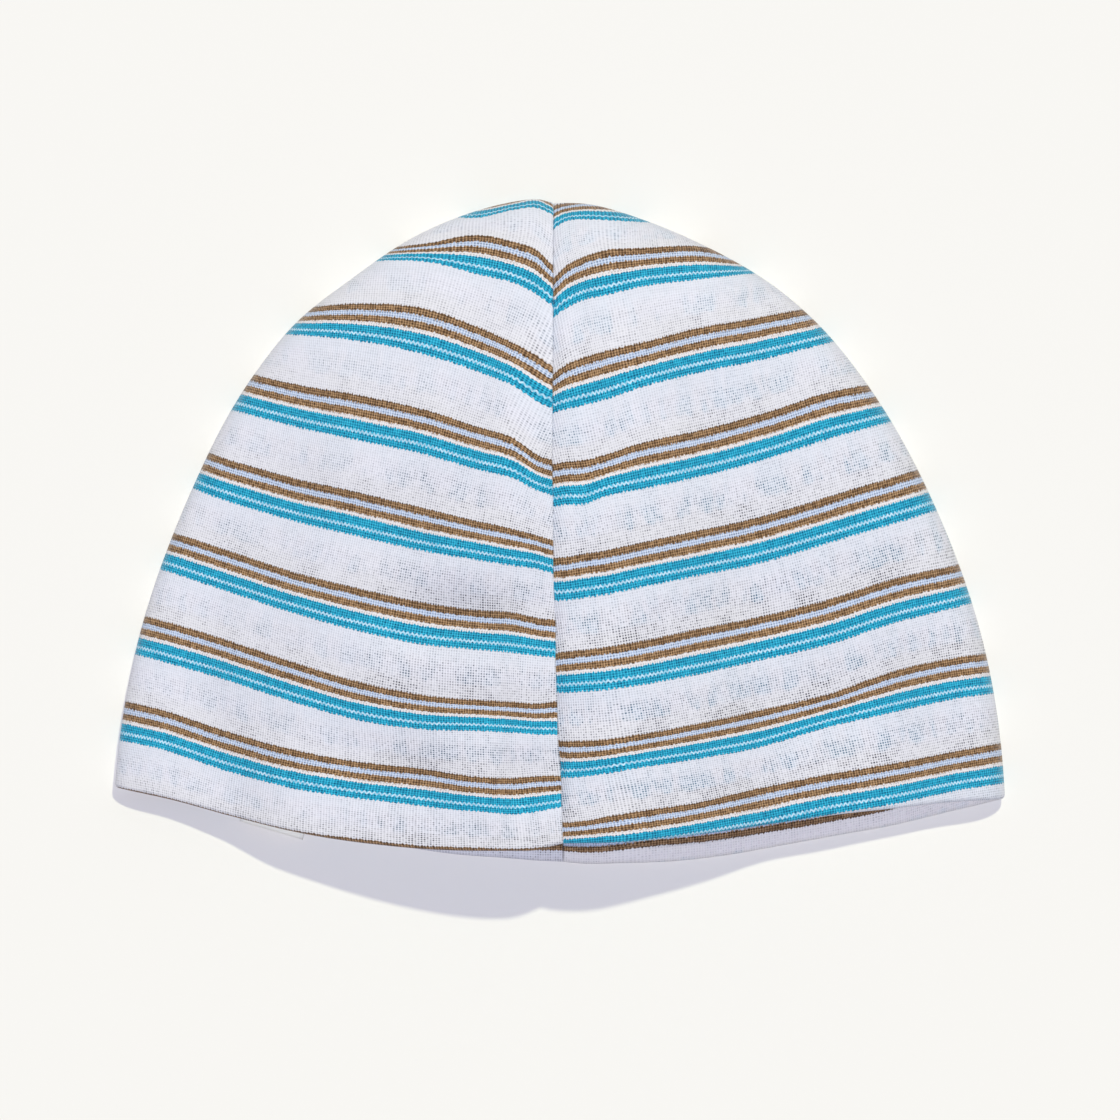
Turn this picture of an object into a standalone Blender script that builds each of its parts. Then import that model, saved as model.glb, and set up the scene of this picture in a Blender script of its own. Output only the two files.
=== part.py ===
"""A soft double-layer jersey cap for a small child, lying on its back with its front puffed up.

Two cloth panels, left and right, are joined by one seam that runs from the front hem over the
crown to the back hem. The outer cloth turns under at the hem and carries on inside as the
lining. X runs to the right, Y from the mouth to the crown and Z up from the surface that the
back of the cap lies on. The origin is the bottom centre of the cap. Lengths are in metres.

Every cloth wall is read from one skin, the outer face of the cap. A place on the skin has two
angles in degrees. "around" is 90 at the front seam, 0 at the side fold and -90 at the back
seam. "climb" is 0 at the hem and 90 at the crown. A wall lies between two depths under the
skin, so the layers keep the same clearance wherever the cap bends.
"""

import math

import bmesh
import bpy
import numpy as np

# Size of the cap as it lies
CAP_WIDTH = 0.200          # between the side folds, at the hem
CROWN_RISE = 0.1328        # from the hem's ends at the side folds up to the crown
HEM_SAG = 0.0133           # how far the front hem hangs below its left end
BACK_HEM_DROP = 0.0056     # how far the back hem reaches below the front hem
PUFF_HEIGHT = 0.034        # top of the front layer at the mouth
FOLD_HEIGHT = 0.0045       # height of the side folds and of the crown's nose
FOLD_REACH = 0.007         # from a side fold in to where the back touches down
NOSE_REACH = 0.007         # the same at the crown

# Cloth, seam and hem
CLOTH = 0.0010             # one layer of jersey
GAP = 0.0003               # clearance between pieces that touch
HEM_WIDTH = 0.0034         # turned edge, from the fold up to where the layers part
SEAM_WIDTH = 0.0024        # sewn ridge between the two panels
SEAM_VALLEY = 0.0012       # how deep the front dips at the seam
VALLEY_REACH = 0.007       # how far the dip reaches to each side

# Care label, a blank tape that shows below the front hem
LABEL_WIDTH = 0.015
LABEL_LENGTH = 0.022
LABEL_THICKNESS = 0.0010
LABEL_SHOWS = 0.0013       # how far it reaches below the front hem
LABEL_PLACE = -0.655       # share of half the cap's width, to the left of the seam
LABEL_TURN = -12.6         # degrees, along the slope of the hem

# Shape of the puffed front
ARCH_FILL = 2.0            # how late the front fills out to a full arch above the hem
RISE_FALL = 3.0            # how late the height falls towards the crown
RISE_ROUND = 0.55          # how round the nose of the crown is

# Facets
ROWS = 16                  # from the hem to the crown
FRONT_COLUMNS = 14         # from the seam to the side fold on one panel's front
BACK_COLUMNS = 8           # the same on its back
HEM_FACETS = 4             # round the turned edge
SHARP_DEG = 50             # edges sharper than this stay crisp
SLOPE_STEP_DEG = 0.05      # for reading the skin's slope
LEAST_SHARE = 1e-6         # of the half width, keeps the columns apart at the crown

HALF_WIDTH = CAP_WIDTH / 2
THICKNESS = 2 * CLOTH + GAP
SEAM_EDGE = SEAM_WIDTH / 2 + GAP
LINING_EDGE = GAP / 2

# Plan outline: climb in degrees, then how full each side is beside a true ellipse
OUTLINE = np.array([
    # climb, left, right
    (0, 1.000, 1.000),
    (15, 0.978, 0.985),
    (30, 0.959, 0.964),
    (45, 0.963, 0.953),
    (53, 0.960, 0.946),
    (60, 0.920, 0.918),
    (70, 0.895, 0.810),
    (80, 0.830, 0.660),
    (90, 0.740, 0.560),
])

# Hem: share of the half width out from the seam, then the front hem's drop as a share of
# HEM_SAG on each side, then the back hem's further drop as a share of BACK_HEM_DROP
HEM = np.array([
    # across, front_left, front_right, back_left, back_right
    (0.00, 0.975, 0.975, 0.66, 0.66),
    (0.12, 1.000, 0.905, 0.45, 0.88),
    (0.25, 0.995, 0.820, 0.28, 1.00),
    (0.37, 0.940, 0.720, 0.08, 1.00),
    (0.50, 0.820, 0.575, -0.05, 0.94),
    (0.62, 0.660, 0.450, -0.10, 0.85),
    (0.75, 0.420, 0.345, -0.10, 0.68),
    (0.88, 0.170, 0.235, -0.05, 0.38),
    (1.00, 0.000, 0.190, 0.00, 0.00),
])

# Height of the front at the hem: share of the half width out from the seam, then how high
# each side stands as a share of a plain arch
ARCH = np.array([
    # across, left, right
    (0.00, 1.000, 1.000),
    (0.12, 0.985, 0.975),
    (0.25, 0.900, 0.870),
    (0.37, 0.800, 0.730),
    (0.50, 0.700, 0.580),
    (0.62, 0.600, 0.580),
    (0.75, 0.420, 0.540),
    (0.88, 0.330, 0.570),
    (1.00, 0.550, 0.800),
])

# Soft dents of the front: place as shares of the half width and of the crown's rise, depth as
# a share of the puff height, half lengths as shares of the half width and of the crown's rise
DENTS = np.array([
    # across, up, depth, half_across, half_up, turn in degrees
    (-0.14, 0.14, 0.045, 0.22, 0.035, -4),
    (-0.77, 0.06, 0.040, 0.07, 0.140, 12),
    (-0.33, 0.91, 0.040, 0.14, 0.045, 20),
    (0.09, 0.54, 0.035, 0.07, 0.070, 0),
    (0.08, 0.35, 0.030, 0.07, 0.060, 0),
    (0.61, 0.15, 0.045, 0.12, 0.060, 18),
    (-0.11, 0.84, 0.030, 0.10, 0.120, 30),
    (0.40, 0.28, 0.025, 0.20, 0.050, 14),
    (-0.50, 0.45, 0.025, 0.18, 0.050, -14),
    (0.30, 0.66, 0.025, 0.18, 0.050, 16),
])

# Colours
JERSEY_WHITE = (0.76, 0.78, 0.85)
STRIPE_BROWN = (0.25, 0.15, 0.06)
THREAD_WHITE = (0.70, 0.71, 0.76)
LABEL_CREAM = (0.80, 0.78, 0.72)


def smooth_lookup(table, column, at):
    """Read a table column at any first-column value along a smooth curve through its rows."""
    knots = table[:, 0]
    values = table[:, column]
    slopes = np.gradient(values, knots)
    at = np.clip(at, knots[0], knots[-1])
    i = np.clip(np.searchsorted(knots, at, side="right") - 1, 0, len(knots) - 2)
    span = knots[i + 1] - knots[i]
    t = (at - knots[i]) / span
    start = values[i] * (1 + 2 * t) * (1 - t) ** 2 + slopes[i] * span * t * (1 - t) ** 2
    end = values[i + 1] * t ** 2 * (3 - 2 * t) - slopes[i + 1] * span * t ** 2 * (1 - t)
    return start + end


def hem_drop(side, around):
    """How far the hem lies below the left side fold's hem, for columns at these angles."""
    across = np.cos(np.radians(around))
    front_column = 1 if side < 0 else 2
    drop = HEM_SAG * smooth_lookup(HEM, front_column, across)
    back = BACK_HEM_DROP * smooth_lookup(HEM, front_column + 2, across)
    return np.where(around < 0, drop + back, drop)


def column_angles():
    """Angles around one panel, from the front seam over the side fold to the back seam."""
    front = np.linspace(90, 0, FRONT_COLUMNS + 1)
    back = np.linspace(0, -90, BACK_COLUMNS + 1)
    return np.concatenate([front, back[1:]])


def side_hem_y():
    """Y of the left side fold's hem, so that the whole cap is centred on the origin."""
    lowest = max(hem_drop(side, column_angles()).max() for side in (-1, 1))
    return (lowest - CROWN_RISE) / 2


SIDE_Y = side_hem_y()
CROWN_Y = SIDE_Y + CROWN_RISE


def climb_above_hem(side, around, distance):
    """Climb angle of the places that lie this far above the hem."""
    length = CROWN_RISE + hem_drop(side, around)
    return np.degrees(np.arcsin(distance / length))


def dent_depth(x, y):
    """Sum of the soft dents at these places of the front."""
    total = np.zeros(np.broadcast(x, y).shape)
    for across, up, depth, half_across, half_up, turn in DENTS:
        dx = x - across * HALF_WIDTH
        dy = y - (SIDE_Y + up * CROWN_RISE)
        c = math.cos(math.radians(turn))
        s = math.sin(math.radians(turn))
        along = (dx * c + dy * s) / (half_across * HALF_WIDTH)
        over = (dy * c - dx * s) / (half_up * CROWN_RISE)
        total = total + depth * PUFF_HEIGHT * np.exp(-along ** 2 - over ** 2)
    return total


def skin(side, around, climb, edge):
    """Outer face of one side of the cap, which stops at this distance from the centre line."""
    around, climb = np.broadcast_arrays(np.asarray(around, float), np.asarray(climb, float))
    turn = np.radians(around)
    up = np.sin(np.radians(climb))
    fullness = smooth_lookup(OUTLINE, 1 if side < 0 else 2, climb)
    half = HALF_WIDTH * np.maximum(fullness * np.cos(np.radians(climb)), LEAST_SHARE)
    out = half * np.cos(turn)
    hem_y = SIDE_Y - hem_drop(side, around)
    x = side * (edge + out * (HALF_WIDTH - edge) / HALF_WIDTH)
    y = hem_y + (CROWN_Y - hem_y) * up
    front = FOLD_HEIGHT + front_rise(side, turn, up, out, y)
    back = FOLD_HEIGHT * (1 - touch_down(half, out, up))
    z = np.where(around > 0, front, back)
    return np.stack([x, y, z], axis=-1)


def front_rise(side, turn, up, out, y):
    """Height of the puffed front above the side fold."""
    at_hem = smooth_lookup(ARCH, 1 if side < 0 else 2, np.cos(turn))
    arch = np.sin(turn) * (at_hem + (1 - at_hem) * up ** ARCH_FILL)
    valley = SEAM_VALLEY * np.exp(-(out / VALLEY_REACH) ** 2)
    hollows = np.clip(np.sin(turn), 0, 1) * (valley + dent_depth(side * out, y))
    towards_crown = np.clip(1 - up ** RISE_FALL, 0, 1) ** RISE_ROUND
    return towards_crown * ((PUFF_HEIGHT - FOLD_HEIGHT) * arch - hollows)


def touch_down(half, out, up):
    """Share of the fold's height that the back layer has come down, 1 where it lies flat."""
    reach = np.minimum(FOLD_REACH, half / 2)
    near_fold = np.clip(1 - (half - out) / reach, 0, 1)
    nose_start = 1 - NOSE_REACH / CROWN_RISE
    near_crown = np.clip((up - nose_start) / (1 - nose_start), 0, 1)
    return np.sqrt(1 - near_fold ** 2) * np.sqrt(1 - near_crown ** 2)


def skin_at_depth(side, around, climb, depth, edge):
    """Points this deep under the skin, square to it, or straight along X's cut at the seam."""
    step = SLOPE_STEP_DEG
    here = skin(side, around, climb, edge)
    round_it = skin(side, np.add(around, step), climb, edge)
    round_it = round_it - skin(side, np.subtract(around, step), climb, edge)
    up_it = skin(side, around, np.minimum(np.add(climb, step), 90), edge)
    up_it = up_it - skin(side, around, np.subtract(climb, step), edge)
    normal = -side * np.cross(round_it, up_it)
    at_seam = np.abs(np.broadcast_to(around, normal.shape[:-1])) > 90 - step
    normal[..., 0] = np.where(at_seam, 0, normal[..., 0])
    normal = normal / np.linalg.norm(normal, axis=-1, keepdims=True)
    return here - normal * depth


def crown_tip(side, depth, edge):
    """The point where all columns of one side meet, this deep behind the crown's nose."""
    return np.array([side * edge, CROWN_Y - depth, FOLD_HEIGHT])


def add_piece(name, points, faces, material):
    """Make one closed body with its faces pointing out and smooth shading."""
    mesh = bpy.data.meshes.new(name)
    mesh.from_pydata([tuple(point) for point in points], [], faces)
    body = bmesh.new()
    body.from_mesh(mesh)
    bmesh.ops.recalc_face_normals(body, faces=body.faces)
    body.to_mesh(mesh)
    body.free()
    mesh.shade_smooth()
    mesh.set_sharp_from_angle(angle=math.radians(SHARP_DEG))
    mesh.materials.append(material)
    piece = bpy.data.objects.new(name, mesh)
    bpy.context.scene.collection.objects.link(piece)
    return piece


def cloth_wall(name, side, outer_depth, inner_depth, edge, material):
    """One layer of cloth on one side, from the turned hem up to the crown."""
    around = column_angles()
    first = climb_above_hem(side, around, HEM_WIDTH + GAP)
    shares = np.linspace(0, 1, ROWS + 1)[:-1, None]
    climb = first + (90 - first) * shares
    columns = len(around)
    size = ROWS * columns
    points = []
    for depth in (outer_depth, inner_depth):
        points.extend(skin_at_depth(side, around[None, :], climb, depth, edge).reshape(-1, 3))
    tips = (2 * size, 2 * size + 1)
    points.append(crown_tip(side, outer_depth, edge))
    points.append(crown_tip(side, inner_depth, edge))
    faces = []
    for layer in (0, 1):
        for column in range(columns - 1):
            for row in range(ROWS - 1):
                a = layer * size + row * columns + column
                faces.append((a, a + 1, a + columns + 1, a + columns))
            top = layer * size + (ROWS - 1) * columns + column
            faces.append((top, top + 1, tips[layer]))
    rim = [row * columns for row in range(ROWS - 1, -1, -1)]
    rim += list(range(1, columns))
    rim += [row * columns + columns - 1 for row in range(1, ROWS)]
    for a, b in zip(rim, rim[1:]):
        faces.append((a, b, b + size, a + size))
    for end in (rim[0], rim[-1]):
        faces.append((end, end + size, tips[1], tips[0]))
    return add_piece(name, points, faces, material)


def ring_of_sections(name, sections, material):
    """Join a row of equal sections into one body, closed at both ends."""
    count = len(sections[0])
    points = [point for section in sections for point in section]
    faces = []
    for i in range(len(sections) - 1):
        for j in range(count):
            k = (j + 1) % count
            faces.append((i * count + j, i * count + k, (i + 1) * count + k, (i + 1) * count + j))
    last = (len(sections) - 1) * count
    faces.append(tuple(range(count)))
    faces.append(tuple(last + j for j in range(count)))
    return add_piece(name, points, faces, material)


def hem_fold(name, side, material):
    """The turned edge on one side, where the outer cloth rolls in to become the lining."""
    radius = THICKNESS / 2
    profile = [(HEM_WIDTH, 0)]
    for angle in np.radians(np.linspace(0, 180, HEM_FACETS + 1)):
        profile.append((radius * (1 - math.sin(angle)), radius * (1 - math.cos(angle))))
    profile.append((HEM_WIDTH, THICKNESS))
    sections = []
    for around in column_angles():
        around = np.array([around])
        section = []
        for distance, depth in profile:
            climb = climb_above_hem(side, around, distance)
            section.append(skin_at_depth(side, around, climb, depth, LINING_EDGE)[0])
        sections.append(section)
    return ring_of_sections(name, sections, material)


def centre_seam(name, material):
    """The sewn ridge between the panels, from the front hem over the crown to the back hem."""
    half = SEAM_WIDTH / 2
    depths = (GAP, CLOTH)
    sections = []
    for around in (90.0, -90.0):
        first = float(climb_above_hem(1, np.array([around]), HEM_WIDTH + GAP)[0])
        climbs = first + (90 - first) * np.linspace(0, 1, ROWS + 1)[:-1]
        part = []
        for climb in climbs:
            outer, inner = (skin_at_depth(1, around, climb, depth, half) for depth in depths)
            part.append(seam_section(half, outer, inner))
        if around < 0:
            part.reverse()
        sections.extend(part)
        if around > 0:
            sections.append(seam_section(half, *(crown_tip(1, depth, half) for depth in depths)))
    return ring_of_sections(name, sections, material)


def seam_section(half, outer, inner):
    """Four corners of the seam's section between an outer and an inner point."""
    return [(-half, outer[1], outer[2]), (half, outer[1], outer[2]),
            (half, inner[1], inner[2]), (-half, inner[1], inner[2])]


def care_label(name, material):
    """A blank tape that lies on the back lining and shows below the front hem."""
    x = LABEL_PLACE * HALF_WIDTH
    around = np.array([math.degrees(math.acos(-LABEL_PLACE))])
    front_hem = SIDE_Y - float(hem_drop(-1, around)[0])
    mesh = bpy.data.meshes.new(name)
    body = bmesh.new()
    bmesh.ops.create_cube(body, size=1.0)
    bmesh.ops.scale(body, vec=(LABEL_WIDTH, LABEL_LENGTH, LABEL_THICKNESS), verts=body.verts)
    bmesh.ops.translate(body, vec=(0, LABEL_LENGTH / 2, LABEL_THICKNESS / 2), verts=body.verts)
    body.to_mesh(mesh)
    body.free()
    mesh.materials.append(material)
    label = bpy.data.objects.new(name, mesh)
    label.location = (x, front_hem - LABEL_SHOWS, THICKNESS + GAP)
    label.rotation_euler = (0, 0, math.radians(LABEL_TURN))
    bpy.context.scene.collection.objects.link(label)
    return label


def fabric(name, colour, roughness):
    """A plain cloth material."""
    material = bpy.data.materials.new(name)
    material.use_nodes = True
    shader = material.node_tree.nodes["Principled BSDF"]
    shader.inputs["Base Color"].default_value = (*colour, 1)
    shader.inputs["Roughness"].default_value = roughness
    shader.inputs["Metallic"].default_value = 0
    return material


def build_cap():
    """Make every piece of the cap and parent them to one empty."""
    pieces = []
    lining_depth = CLOTH + GAP
    for side, word in ((-1, "left"), (1, "right")):
        outer = fabric(f"{word} outer jersey", JERSEY_WHITE, 0.9)
        inner = fabric(f"{word} lining jersey", JERSEY_WHITE, 0.9)
        edge = fabric(f"{word} hem jersey", STRIPE_BROWN, 0.9)
        pieces.append(cloth_wall(f"{word}_outer_panel", side, 0, CLOTH, SEAM_EDGE, outer))
        pieces.append(cloth_wall(f"{word}_lining", side, lining_depth, THICKNESS, LINING_EDGE, inner))
        pieces.append(hem_fold(f"{word}_hem_fold", side, edge))
    pieces.append(centre_seam("centre_seam", fabric("seam thread", THREAD_WHITE, 0.85)))
    pieces.append(care_label("care_label", fabric("label tape", LABEL_CREAM, 0.7)))
    cap = bpy.data.objects.new("cap", None)
    bpy.context.scene.collection.objects.link(cap)
    for piece in pieces:
        piece.parent = cap


def main():
    for old in list(bpy.data.objects):
        bpy.data.objects.remove(old)
    build_cap()


main()
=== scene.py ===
"""A child's striped jersey cap, doubled and lying on its back, dressed over its solid model.

The cap is two panels sewn along one centre seam. Each panel's outer cloth rolls in at the hem
and carries on inside as the lining, so the stripes run on round the fold. All lengths are in
metres unless a name ends in mm.
"""

import math

import bpy
import numpy as np
from bpy.props import FloatProperty, FloatVectorProperty, PointerProperty
from bpy.types import Operator, Panel, PropertyGroup
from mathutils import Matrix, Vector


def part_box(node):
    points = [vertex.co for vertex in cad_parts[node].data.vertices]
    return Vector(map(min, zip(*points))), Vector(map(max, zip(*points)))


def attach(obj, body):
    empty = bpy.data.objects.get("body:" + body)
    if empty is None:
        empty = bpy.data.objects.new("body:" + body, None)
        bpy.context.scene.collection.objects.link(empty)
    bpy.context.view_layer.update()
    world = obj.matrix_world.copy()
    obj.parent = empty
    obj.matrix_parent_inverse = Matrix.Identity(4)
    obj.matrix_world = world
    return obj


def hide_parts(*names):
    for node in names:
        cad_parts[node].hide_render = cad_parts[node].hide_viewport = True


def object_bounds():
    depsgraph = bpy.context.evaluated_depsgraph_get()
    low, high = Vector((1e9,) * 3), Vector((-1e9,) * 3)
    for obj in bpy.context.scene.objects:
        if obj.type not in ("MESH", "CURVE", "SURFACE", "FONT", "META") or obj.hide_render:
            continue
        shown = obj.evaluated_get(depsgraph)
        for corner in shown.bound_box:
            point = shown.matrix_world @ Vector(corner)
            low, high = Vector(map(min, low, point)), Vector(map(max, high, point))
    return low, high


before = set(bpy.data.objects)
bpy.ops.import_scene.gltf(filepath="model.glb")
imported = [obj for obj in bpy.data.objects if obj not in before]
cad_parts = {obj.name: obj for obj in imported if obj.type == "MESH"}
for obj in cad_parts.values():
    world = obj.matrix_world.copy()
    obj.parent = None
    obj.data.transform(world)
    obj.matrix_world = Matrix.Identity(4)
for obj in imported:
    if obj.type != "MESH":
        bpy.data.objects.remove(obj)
SOLID_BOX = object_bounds()

bl_info = {
    "name": "Striped jersey cap",
    "version": (1, 0, 0),
    "blender": (4, 5, 0),
    "location": "3D View > Sidebar > Cap",
    "description": "Makes a child's doubled jersey cap with a centre seam and knitted stripes",
    "category": "Mesh",
}

LEFT = -1
RIGHT = 1
WORDS = {LEFT: "left", RIGHT: "right"}

# The column that holds each side's values in a table with one column for each side
COLUMN = {LEFT: 1, RIGHT: 2}

# Plan outline: climb in degrees, then how full each side is beside a true ellipse
OUTLINE = np.array([
    # climb, left, right
    (0, 1.000, 1.000),
    (15, 0.978, 0.985),
    (30, 0.959, 0.964),
    (45, 0.963, 0.953),
    (53, 0.960, 0.946),
    (60, 0.920, 0.918),
    (70, 0.895, 0.810),
    (80, 0.830, 0.660),
    (90, 0.740, 0.560),
])

# Hem: share of the half width out from the seam, then the front hem's drop as a share of the
# hem's sag on each side, then the back hem's further drop as a share of its own drop
HEM = np.array([
    # across, front_left, front_right, back_left, back_right
    (0.00, 0.910, 0.915, 0.80, 0.80),
    (0.05, 1.015, 0.915, 0.52, 0.88),
    (0.12, 1.035, 0.905, 0.37, 0.88),
    (0.25, 1.030, 0.820, 0.20, 1.00),
    (0.37, 0.975, 0.720, 0.00, 1.00),
    (0.50, 0.855, 0.575, -0.13, 0.94),
    (0.62, 0.695, 0.450, -0.18, 0.85),
    (0.75, 0.450, 0.345, -0.17, 0.68),
    (0.88, 0.185, 0.235, -0.08, 0.38),
    (1.00, 0.000, 0.190, 0.00, 0.00),
])

# Soft dents of the front: place and half lengths as shares of the half width and of the
# crown's rise, depth as a share of the puff height
DENTS = np.array([
    # across, up, depth, half_across, half_up, turn in degrees
    (-0.14, 0.14, 0.045, 0.22, 0.035, -4),
    (-0.77, 0.06, 0.040, 0.07, 0.140, 12),
    (-0.33, 0.91, 0.040, 0.14, 0.045, 20),
    (0.09, 0.54, 0.035, 0.07, 0.070, 0),
    (0.08, 0.35, 0.030, 0.07, 0.060, 0),
    (0.61, 0.15, 0.045, 0.12, 0.060, 18),
    (-0.11, 0.84, 0.030, 0.10, 0.120, 30),
    (0.40, 0.28, 0.025, 0.20, 0.050, 14),
    (-0.50, 0.45, 0.025, 0.18, 0.050, -14),
    (0.30, 0.66, 0.025, 0.18, 0.050, 16),
    (-0.22, 0.285, 0.150, 0.17, 0.055, -6),
    (-0.24, 0.06, -0.040, 0.09, 0.060, 0),
    (-0.41, 0.05, 0.085, 0.13, 0.075, 0),
    (-0.07, 0.01, 0.055, 0.06, 0.060, 0),
    (0.68, 0.10, 0.040, 0.10, 0.060, 12),
])

# Slack of the cloth: low waves over both layers
RIPPLES = np.array([
    # wavelength in mm, height in mm, direction in degrees, phase in degrees
    (46, 0.22, 78, 20),
    (31, 0.16, 102, 140),
    (24, 0.12, 8, 75),
    (17, 0.09, 64, 250),
    (13, 0.06, 121, 10),
])

# Height of the front at the hem: share of the half width out from the seam, then how high
# each side stands as a share of a plain arch
ARCH = np.array([
    # across, left, right
    (0.00, 1.000, 1.000),
    (0.12, 0.985, 0.975),
    (0.25, 0.900, 0.870),
    (0.37, 0.800, 0.730),
    (0.50, 0.700, 0.580),
    (0.62, 0.600, 0.580),
    (0.75, 0.420, 0.540),
    (0.88, 0.330, 0.570),
    (1.00, 0.550, 0.800),
])

# Share of the stripes' slope by which the stitch columns lean
COLUMN_LEAN = 0.8

# How far the sewn line wanders from the cap's middle: share of the crown's rise, then mm.
# The cloth beside it follows within the reach, in metres
SEAM_DRIFT_REACH = 0.035
SEAM_DRIFT = np.array([
    # up, drift
    (-0.10, 0.7),
    (0.03, -0.2),
    (0.17, -0.9),
    (0.34, -1.35),
    (0.60, -1.6),
    (1.00, -1.5),
])

# Extra dip of the front right beside the seam: depth and reach in mm
SEAM_DIP = {LEFT: (1.0, 2.6), RIGHT: (1.25, 1.4)}

# Where each stripe lies on the front, in mm along Y. The columns are places out from the
# cap's middle, as shares of its half width. Each stripe from the crown down has two rows: the
# top of its upper brown line, then the lower edge of its teal one. The values past the outline
# only keep the lines apart, and the last stripe is turned in at the hem
STATIONS = (-0.02, 0.02, 0.05, 0.10, 0.18, 0.30, 0.45, 0.60, 0.75, 0.90, 1.00)
STRIPES = {
    LEFT: np.array([
        (74.4, 75.6, 76.3, 75.1, 73.9, 74.3, 72.6, 69.5, 65.4, 60.3, 57.2),
        (70.0, 71.9, 72.6, 72.1, 70.3, 71.0, 69.0, 66.0, 62.0, 57.0, 54.0),
        (57.0, 60.2, 62.9, 64.7, 66.4, 64.5, 63.0, 62.0, 60.0, 56.0, 53.0),
        (47.5, 50.8, 52.8, 55.3, 57.3, 60.4, 60.3, 58.0, 54.2, 49.7, 46.0),
        (36.0, 37.3, 39.1, 41.8, 45.4, 49.7, 51.0, 50.0, 51.0, 48.0, 46.0),
        (26.6, 27.6, 28.8, 32.1, 35.3, 39.3, 42.5, 44.0, 44.5, 43.4, 42.0),
        (15.5, 16.0, 16.9, 20.4, 23.1, 27.0, 30.3, 33.0, 36.5, 39.0, 40.0),
        (7.5, 8.1, 9.0, 11.5, 13.5, 16.9, 20.2, 23.4, 27.3, 30.0, 31.0),
        (-2.8, -2.0, -1.1, 0.2, 2.0, 4.9, 8.5, 11.9, 16.2, 21.5, 24.0),
        (-10.0, -9.4, -8.5, -7.9, -6.7, -4.7, -1.3, 2.2, 6.7, 12.1, 15.0),
        (-20.4, -20.0, -19.6, -18.4, -17.8, -16.2, -13.0, -9.2, -4.3, 0.4, 3.0),
        (-28.3, -28.1, -27.9, -27.4, -26.7, -25.6, -22.5, -18.4, -13.5, -8.6, -6.0),
        (-38.4, -38.4, -38.7, -38.4, -38.0, -36.9, -33.9, -29.4, -24.5, -20.0, -17.6),
        (-45.6, -45.6, -45.6, -45.2, -44.7, -44.5, -42.5, -38.4, -33.5, -29.2, -26.6),
        (-54.6, -54.8, -54.8, -55.3, -55.1, -53.3, -51.7, -49.0, -44.9, -40.0, -37.8),
        (-61.6, -62.2, -62.9, -63.4, -62.9, -61.8, -60.0, -57.8, -53.9, -49.0, -46.9),
        (-70.2, -70.35, -70.65, -70.8, -70.75, -70.35, -68.95, -66.95, -63.4, -59.5, -57.4),
        (-79.4, -79.5, -79.7, -79.9, -79.9, -79.7, -78.2, -75.8, -72.4, -68.6, -66.7),
    ]),
    RIGHT: np.array([
        (73.0, 73.7, 74.1, 74.2, 73.5, 74.2, 77.0, 81.0, 86.0, 89.0, 91.0),
        (68.0, 69.7, 69.9, 69.7, 69.3, 69.5, 71.0, 75.0, 80.0, 83.0, 85.0),
        (56.5, 59.8, 61.3, 62.9, 63.4, 64.0, 61.5, 66.0, 71.0, 75.0, 77.0),
        (47.6, 50.1, 51.5, 52.6, 54.6, 56.2, 58.0, 59.5, 63.0, 66.0, 68.0),
        (35.0, 37.5, 38.7, 40.2, 42.0, 45.2, 47.9, 51.0, 55.0, 59.0, 62.0),
        (26.4, 27.2, 27.9, 29.2, 31.9, 35.1, 38.2, 42.0, 46.0, 50.0, 53.0),
        (14.9, 15.5, 15.7, 16.9, 19.6, 22.2, 26.1, 31.0, 33.8, 38.0, 41.0),
        (5.4, 5.8, 5.8, 7.6, 9.2, 11.7, 15.7, 20.4, 24.6, 28.5, 30.0),
        (-6.2, -5.8, -5.2, -4.5, -2.7, -0.2, 3.1, 7.6, 12.1, 16.5, 19.0),
        (-15.9, -15.5, -15.1, -14.4, -12.8, -10.3, -7.2, -2.9, 1.6, 6.0, 9.0),
        (-27.4, -27.0, -26.7, -26.1, -24.7, -22.2, -19.3, -15.5, -10.8, -7.5, -4.8),
        (-36.6, -36.2, -36.0, -35.7, -34.6, -32.4, -29.0, -25.6, -20.7, -16.9, -14.0),
        (-47.0, -47.0, -47.0, -46.7, -45.6, -43.4, -40.2, -36.7, -31.5, -28.3, -27.2),
        (-55.2, -55.3, -55.1, -54.4, -53.0, -51.2, -48.5, -44.1, -40.7, -37.5, -36.2),
        (-65.2, -65.2, -64.9, -64.0, -62.7, -60.9, -57.5, -54.6, -52.1, -49.2, -47.5),
        (-71.9, -71.8, -71.7, -71.7, -71.3, -69.5, -67.2, -63.9, -61.3, -58.2, -56.7),
        (-82.4, -82.3, -82.2, -82.2, -81.8, -80.0, -77.7, -74.4, -71.8, -68.7, -67.2),
        (-91.8, -91.7, -91.6, -91.6, -91.2, -89.4, -87.1, -83.8, -81.2, -78.1, -76.6),
    ]),
}

# White cloth turned in at the back hem before the first brown line of the last stripe, in mm
TURNED_IN = np.array([
    # across, left, right
    (0.00, 3.3, 3.3),
    (0.10, 3.0, 3.5),
    (0.22, 2.6, 4.6),
    (0.36, 2.6, 4.6),
    (0.50, 1.8, 4.3),
    (0.63, 1.1, 4.1),
    (0.77, -0.2, 4.5),
    (0.90, -0.8, 5.6),
    (1.00, -1.3, 7.6),
])

# How open each side's stitches lie, at the seam and farther out, and the place past which the
# cloth is turned in, in mm
SLACK = {LEFT: (0.84, 0.52), RIGHT: (0.92, 0.92)}
LINING_SLACK = (0.3, 0.3)
TURNS_AT = {LEFT: 159.5, RIGHT: 150.0}

# The part of the plan over which the stitch columns are followed: from the top down along Y
# and out from the middle, in mm, and how far out they start. Then the part over which the
# stripes' slope is read, and the steepest one that counts
TRACED_Y = (76.0, -77.0)
TRACED_OUT = (-5.0, 106.0)
STARTS_OUT = (-90.0, 191.0)
SLOPE_OUT = (8, 97)
STEEPEST = 0.6

# Notch of the right panel at the crown: reach in metres, and the share of the rise above which
# it starts
NOTCH_REACH = 0.008
NOTCH_START = 0.9

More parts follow.
